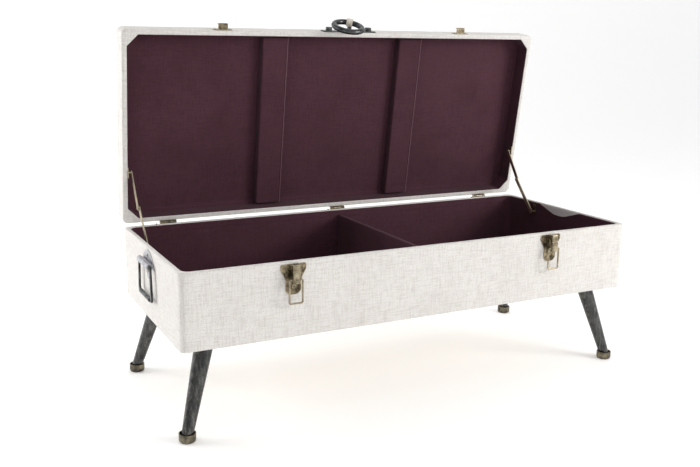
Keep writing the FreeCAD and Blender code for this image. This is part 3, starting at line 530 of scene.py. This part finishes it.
def make_wall_lining():
    edge, floor = BOX_TOP - 1.6, BOX_BOTTOM + 10.2
    wall_away, wall_corner, roll = 13.3, 19, 10.2
    # the rolled edge: away, corner, and how far below the edge
    face = [(12.7, 19.2, 0.3), (13.6, 18.6, 0.5), (14.2, 18.2, 1.8), (14.5, 18, 4.4), (14.2, 18.2, 7.4),
            (13.5, 18.8, 9.2), (wall_away, wall_corner, roll)]
    shares = spaced(0, 1, 1 / 22)
    template = loft_rows([(wall_away, wall_corner, 0)])[0]
    dip = scoop(template)
    grid = [np.column_stack([outline(away, corner), edge - drop - dip]) for away, corner, drop in face]
    start = edge - roll - dip
    for share in shares[1:]:
        height = start + (floor - start) * share
        grid.append(np.column_stack([outline(wall_away, wall_corner), height]))
    grid.append(np.column_stack([outline(11.5, 20.6), np.full(len(template), floor)]))
    grid.append(np.column_stack([outline(11.4, 20.7), edge - 1 - dip]))
    grid = np.array(grid)
    for index in range(4, len(grid) - 3):
        ring = grid[index]
        push = 0.9 + 0.9 * ripple(ring, 90, 5) + 0.25 * ripple(ring, 25, 7)
        below = BOX_TOP - ring[:, 2]
        plain = 1 - np.minimum(1, dip / 2)
        push += plain * (1.1 * bell(below - 13.5, 2.5) - 1.5 * bell(below - 17.5, 1.6))
        push *= min(1, (index - 3) / 3)
        ring[:, :2] -= outward(ring)[:, :2] * push[:, None]
    piece = make_piece("wall_lining", grid.reshape(-1, 3),
                       loft_faces(len(grid), len(template), closed=True), ("lining",))
    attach(piece, "root")
    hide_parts("box_wall_lining")


def make_floor_lining():
    top, under = FLOOR / MM, BOX_BOTTOM + 10.1
    steps = [13.6, 14.6, 17] + spaced(26, HALF_DEPTH - 4, 14)
    rows = [(13.4, 19, under + 0.3), (13.3, 19, top - 0.4)]
    rows += [(away, max(0.5, 32 - away), top) for away in steps]
    grid = loft_rows(rows)
    for ring in grid[3:]:
        ring[:, 2] += 0.45 * ripple(ring, 110, 2) + 0.12 * ripple(ring, 28, 4) - 0.3
    piece = make_piece("floor_lining", grid.reshape(-1, 3),
                       loft_faces(len(rows), grid.shape[1], cap_last=True), ("lining",))
    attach(piece, "root")
    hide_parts("box_floor_lining")


def make_divider_cover():
    low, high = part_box("divider_cover")
    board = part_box("divider_board")
    half, inner = (high.x - low.x) / 2 / MM, (board[1].x - board[0].x) / 2 / MM
    foot, crest = low.z / MM + 0.2, high.z / MM
    length = (high.y - low.y) / MM
    side = spaced(foot, crest - 2.6, 9)
    outer = [(half, z) for z in side]
    outer += [(half - 0.5, crest - 1.1), (half - 2, crest - 0.1), (0, crest + 0.2),
              (2 - half, crest - 0.1), (0.5 - half, crest - 1.1)]
    outer += [(-half, z) for z in reversed(side)]
    core = [(-inner - 0.1, foot), (-inner - 0.1, crest - 2), (inner + 0.1, crest - 2),
            (inner + 0.1, foot)]
    section = outer + core
    stations = spaced(-length / 2 + 0.3, length / 2 - 0.3, 8)
    points = np.array([(x, y, z) for y in stations for x, z in section])
    outside = np.tile([True] * len(outer) + [False] * len(core), len(stations))
    puff = 0.5 + 0.5 * ripple(points, 70, 11) + 0.2 * ripple(points, 20, 12)
    level = np.clip((crest - points[:, 2]) / 12, 0, 1)
    points[:, 0] += np.where(outside, np.sign(points[:, 0]) * puff * level, 0)
    points[:, 2] += np.where(outside, (1 - level) * 0.35 * ripple(points, 60, 13), 0)
    count = len(section)
    faces = loft_faces(len(stations), count)
    caps = [tuple(range(count)), tuple(reversed(range(len(points) - count, len(points))))]
    piece = make_piece("divider_wrap", points, faces + caps, ("lining",))
    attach(piece, "root")
    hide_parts("divider_cover")


# ---- the lid ------------------------------------------------------------------------------------

LID_RIM = RIM / MM
WALL_AWAY, CUT = 12.5, 27                        # the tray's wall inside the lid's faces, corner cut
BOARD_TOP = shut_box("lid_top_board")[1].z / MM
PANEL = PANEL_LEVEL / MM
SEAMS_X = (-SEAM_X / MM, SEAM_X / MM)
SEAM_Y = -3


def seam_depth(points, width):
    """1 in the middle of a sewn seam, falling to 0 beside it."""
    across = sum(bell(points[:, 0] - x, width) for x in SEAMS_X)
    return np.minimum(1, across + bell(points[:, 1] - SEAM_Y, width))


def make_lid_band():
    rows = [(WALL_AWAY + 0.1, CUT, LID_RIM + 1.2, True), (WALL_AWAY - 0.2, CUT, LID_RIM + 0.2, True),
            (WALL_AWAY - 1.4, CUT - 0.6, LID_RIM - 0.2, True),
            (WALL_AWAY - 4, CUT - 3, LID_RIM - 0.25, True)]
    rows += [(5.5, 14, LID_RIM - 0.2), (3.4, 12.4, LID_RIM), (1.6, 12.8, LID_RIM + 0.6),
             (0.5, 13.5, LID_RIM + 1.9), (0, 14, LID_RIM + 4.4)]
    rows += [(0, 14, height) for height in spaced(LID_RIM + 9, BOARD_TOP - 2.4, 7)]
    rows += [(0.5, 13.5, BOARD_TOP - 1), (1.6, 12.6, BOARD_TOP - 0.1), (3.5, 11, BOARD_TOP),
             (16, 10, BOARD_TOP + 0.2)]
    outside = len(rows)
    rows += [(16, 10, BOARD_TOP - 0.8), (1.2, 12.8, BOARD_TOP - 1.6), (1.2, 12.8, LID_RIM + 1.2)]
    grid = loft_rows(rows)
    for index in range(2, outside - 1):
        ring = grid[index]
        swell = 0.3 * ripple(ring, 60, 21) + 0.15 * ripple(ring, 18, 22)
        groove = seam_depth(ring, 1.8)
        if index > 7:
            ring[:, :2] += outward(ring)[:, :2] * (swell - 0.1 - 0.9 * groove)[:, None]
        else:
            ring[:, 2] += 0.8 * swell + 0.7 * groove * (1 if index > 2 else 0.5)
    piece = make_piece("lid_linen_band", grid.reshape(-1, 3),
                       loft_faces(len(rows), grid.shape[1], closed=True), ("lid_linen",), on_lid=True)
    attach(piece, "lid")
    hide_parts("lid_cover")


VOXEL, PRESSURE, CLOTH_FRAMES = 6 * MM, 4, 20    # the cushion's cloth simulation
HELD_HEIGHT, FARTHEST_MOVE = 2.5 * MM, 6 * MM


def make_seat_cushion():
    crown = LID_TOP / MM
    base = BOARD_TOP + 0.3
    shoulder, edge_radius, doming = crown - 5.5, 15, 3.4
    rows = [(HALF_DEPTH - 3, 0.5, base)]
    rows += [(away, max(1, 13 - away / 20), base) for away in spaced(HALF_DEPTH - 20, 8, 24)]
    rows += [(2.6, 12.8, base), (0.9, 13.3, base + 0.9), (0.6, 13.4, base + 2.4)]
    for angle in np.linspace(0.15, math.pi / 2, 7):
        rows.append((1 + edge_radius * (1 - math.cos(angle)), 13.4 + 4 * math.sin(angle),
                     base + 2.4 + (shoulder - base - 2.4) * math.sin(angle)))
    rows += [(away, max(1, 17 - away / 14), shoulder + doming * (1 - math.exp(-(away - 16) / 60)))
             for away in spaced(26, HALF_DEPTH - 3, 12)]
    grid = loft_rows(rows)
    count = grid.shape[1]
    faces = loft_faces(len(rows), count, cap_last=True) + [tuple(reversed(range(count)))]
    piece = make_piece("seat_cushion", grid.reshape(-1, 3), faces, ("lid_linen",), on_lid=True)
    inflate(piece, base * MM)
    sew(piece, crown)
    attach(piece, "lid")
    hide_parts("lid_foam_pad")


def read_points(mesh):
    points = np.empty(len(mesh.vertices) * 3)
    mesh.vertices.foreach_get("co", points)
    return points.reshape(-1, 3)


def write_points(mesh, points):
    mesh.vertices.foreach_set("co", points.ravel())
    mesh.update()


def apply_modifiers(piece):
    found = bpy.context.evaluated_depsgraph_get()
    mesh = bpy.data.meshes.new_from_object(piece.evaluated_get(found))
    piece.modifiers.clear()
    piece.data = mesh


def inflate(piece, base):
    """Blow the cover up like cloth over foam: its underside is held, and no point moves far."""
    lid_frame = np.array(OPEN_TO_SHUT)
    remesh = piece.modifiers.new("even_mesh", "REMESH")
    remesh.mode, remesh.voxel_size = "VOXEL", VOXEL
    remesh.use_smooth_shade = True
    apply_modifiers(piece)
    start = read_points(piece.data)
    shut = start @ lid_frame[:3, :3].T + lid_frame[:3, 3]
    held = piece.vertex_groups.new(name="held")
    below = np.nonzero(shut[:, 2] < base + HELD_HEIGHT)[0]
    held.add([int(index) for index in below], 1.0, "REPLACE")
    cloth = piece.modifiers.new("cover", "CLOTH")
    cloth.settings.vertex_group_mass = "held"
    cloth.settings.use_pressure = True
    cloth.settings.uniform_pressure_force = PRESSURE
    cloth.settings.quality = 4
    cloth.settings.tension_stiffness = 20
    cloth.settings.compression_stiffness = 10
    cloth.settings.effector_weights.gravity = 0
    scene = bpy.context.scene
    for frame_number in range(1, CLOTH_FRAMES + 1):
        scene.frame_set(frame_number)
    found = bpy.context.evaluated_depsgraph_get()
    blown = read_points(piece.evaluated_get(found).data)
    piece.modifiers.clear()
    scene.frame_set(1)
    move = blown - start
    size = np.linalg.norm(move, axis=1)
    move *= (FARTHEST_MOVE * np.tanh(size / FARTHEST_MOVE) / np.maximum(size, 1e-9))[:, None]
    write_points(piece.data, start + move)
    smooth = piece.modifiers.new("finer", "SUBSURF")
    smooth.levels = smooth.render_levels = 1
    apply_modifiers(piece)


def sew(piece, crown):
    """Press the sewn seams into the cushion, with puckers beside them."""
    lid_frame, back = np.array(OPEN_TO_SHUT), np.array(SHUT_TO_OPEN)
    points = read_points(piece.data)
    shut = (points @ lid_frame[:3, :3].T + lid_frame[:3, 3]) / MM
    shut[:, 1] -= MIDDLE_Y / MM
    upper = np.clip((shut[:, 2] - BOARD_TOP - 2) / 8, 0, 1)
    near, wide = seam_depth(shut, 3.4), seam_depth(shut, 24)
    gather = ripple(shut * (1, 1, 0.4), 14, 31)
    inward = 2.8 * near + 2.6 * wide + 0.8 * wide * gather + 0.3 * ripple(shut, 70, 33)
    top = np.clip((shut[:, 2] - crown + 14) / 8, 0, 1)
    shut[:, 2] -= inward * upper * top
    pinch = (near + 0.4 * wide) * upper
    for axis, half in enumerate((HALF_LENGTH, HALF_DEPTH)):
        on_side = np.abs(shut[:, axis]) > half - 4
        shut[:, axis] -= np.sign(shut[:, axis]) * pinch * on_side
    shut[:, 1] += MIDDLE_Y / MM
    write_points(piece.data, shut * MM @ back[:3, :3].T + back[:3, 3])


def make_lid_lining():
    rows = [(WALL_AWAY - 0.8, CUT, LID_RIM + 1.4), (WALL_AWAY + 0.3, CUT, LID_RIM + 0.3),
            (WALL_AWAY + 0.8, CUT, LID_RIM + 1.6), (WALL_AWAY + 0.5, CUT, LID_RIM + 3.4)]
    rows += [(WALL_AWAY + 0.4, CUT, height) for height in spaced(LID_RIM + 8, PANEL - 5, 6)]
    rows += [(WALL_AWAY + inside, CUT, PANEL - rise)
             for inside, rise in ((0.7, 3), (2, 2.5), (4.5, 2.7), (8, 2.1), (10, 0.8), (12, 0.3))]
    walls = len(rows)
    rows += [(away, max(1, CUT * (1 - away / HALF_DEPTH)), PANEL - 0.3)
             for away in spaced(WALL_AWAY + 20, HALF_DEPTH - 3, 12)]
    grid = loft_rows([(*row, True) for row in rows])
    for index in range(4, len(rows)):
        ring = grid[index]
        swell = 0.5 * ripple(ring, 100, 41) + 0.16 * ripple(ring, 26, 42)
        if index < walls - 6:
            ring[:, :2] -= outward(ring)[:, :2] * (swell + 0.4)[:, None]
        else:
            ring[:, 2] -= swell + 0.4
    piece = make_piece("tray_lining", grid.reshape(-1, 3),
                       loft_faces(len(rows), grid.shape[1], cap_last=True), ("lid_lining",), on_lid=True)
    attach(piece, "lid")
    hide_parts("lid_wall_lining", "lid_panel_lining")


def make_batten(name):
    """A lined batten with a sewn welt along its right edge and a fold near each end."""
    low, high = shut_box(f"lid_batten_{name}")
    middle, half = (low.x + high.x) / 2 / MM, (high.x - low.x) / 2 / MM
    face, back = low.z / MM, high.z / MM - 0.2
    length = (high.y - low.y) / MM
    edge = 3.2
    turn = np.linspace(0, math.pi / 2, 5)
    left = [(-half + edge * (1 - math.sin(a)), face + edge * (1 - math.cos(a))) for a in turn[::-1]]
    welt = [(half - 6, face - 0.1), (half - 4.4, face + 0.6), (half - 3, face - 0.8),
            (half - 1.2, face - 1.6), (half + 0.2, face - 0.4), (half + 0.3, face + 2.2),
            (half, face + 4)]
    flat = [(x, face) for x in spaced(-half + 8, half - 9, 7)]
    halfway = (face + back) / 2
    section = [(-half, back), (-half, halfway)] + left + flat + welt + [(half, halfway), (half, back)]
    centre = np.array([(0, halfway + 4)])
    end = length / 2
    stations = [-end, -end + 0.6, -end + 2.4] + spaced(-end + 6, end - 6, 7)
    stations += [end - 2.4, end - 0.6, end]
    shrink = [0.93, 0.975, 0.997] + [1] * (len(stations) - 6) + [0.997, 0.975, 0.93]
    rings = []
    for y, share in zip(stations, shrink):
        flat_section = centre + (np.array(section) - centre) * share
        fold = 0.9 * bell(abs(y) - (end - 20), 2.0)
        rings.append([(x + middle, y, z + (fold if z < face + 1 else 0)) for x, z in flat_section])
    points = np.array(rings).reshape(-1, 3)
    shown = points[:, 2] < back - 2
    points[:, 2] += np.where(shown, 0.25 * ripple(points, 60, 51) + 0.1 * ripple(points, 15, 52), 0)
    faces = loft_faces(len(stations), len(section))
    count = len(section)
    caps = [tuple(reversed(range(count))), tuple(range(len(points) - count, len(points)))]
    crest = 2 + len(left) + len(flat) + 2        # the strip of the welt that gets a painted highlight
    painted_light_faces = [int(index % count == crest) for index in range(len(faces))] + [0] * len(caps)
    piece = make_piece(f"batten_wrap_{name}", points, faces + caps,
                       ("lid_lining", "lid_lining_painted_highlight"), on_lid=True, face_finish=painted_light_faces)
    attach(piece, "lid")
    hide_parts(f"lid_batten_{name}")


# ---- trim on the latches ------------------------------------------------------------------------

# For each frame, in millimetres: half its height, the height of its middle from the lever's top
# (negative, because it is below), and how far it is behind the lever's outermost face.
LEVER_FRAMES = ((5.2, -10.2, 1.8), (7.4, -29.0, 0.0))
FRAME_HALF_WIDTH, FRAME_WIDTH, FRAME_RISE, FRAME_SUNK, FRAME_SLOPE = 5.4, 1.3, 0.55, 0.3, 0.35


def make_lever_trim(name):
    """Two raised rectangular frames pressed out of the lever's front."""
    low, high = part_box(f"latch_lever_{name}")
    middle = (low.x + high.x) / 2
    corners = [(-1, -1), (1, -1), (1, 1), (-1, 1)]
    section = ((0, -FRAME_SUNK), (FRAME_SLOPE, FRAME_RISE), (FRAME_WIDTH - FRAME_SLOPE, FRAME_RISE),
               (FRAME_WIDTH, -FRAME_SUNK))
    vertices, faces = [], []
    for half, level, behind in LEVER_FRAMES:
        start = len(vertices)
        for inside, rise in section:
            for across, up in corners:
                vertices.append((middle + across * (FRAME_HALF_WIDTH - inside) * MM,
                                 low.y + (behind - rise) * MM,
                                 high.z + (level + up * (half - inside)) * MM))
        faces += [tuple(start + index for index in face)
                  for face in loft_faces(len(section), len(corners), closed=True)]
    mesh = bpy.data.meshes.new(f"lever_trim_{name}")
    mesh.from_pydata(vertices, [], faces)
    mesh.materials.append(materials["loop_brass"])
    piece = link_piece(f"lever_trim_{name}", mesh)
    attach(piece, f"latch_lever_{name}")


# ---- the whole scene ----------------------------------------------------------------------------

make_camera()
make_studio()
finish_cad_nodes()
make_box_linen()
make_wall_lining()
make_floor_lining()
make_divider_cover()
make_lid_band()
make_seat_cushion()
make_lid_lining()
for side in ("left", "right"):
    make_batten(side)
    make_lever_trim(side)
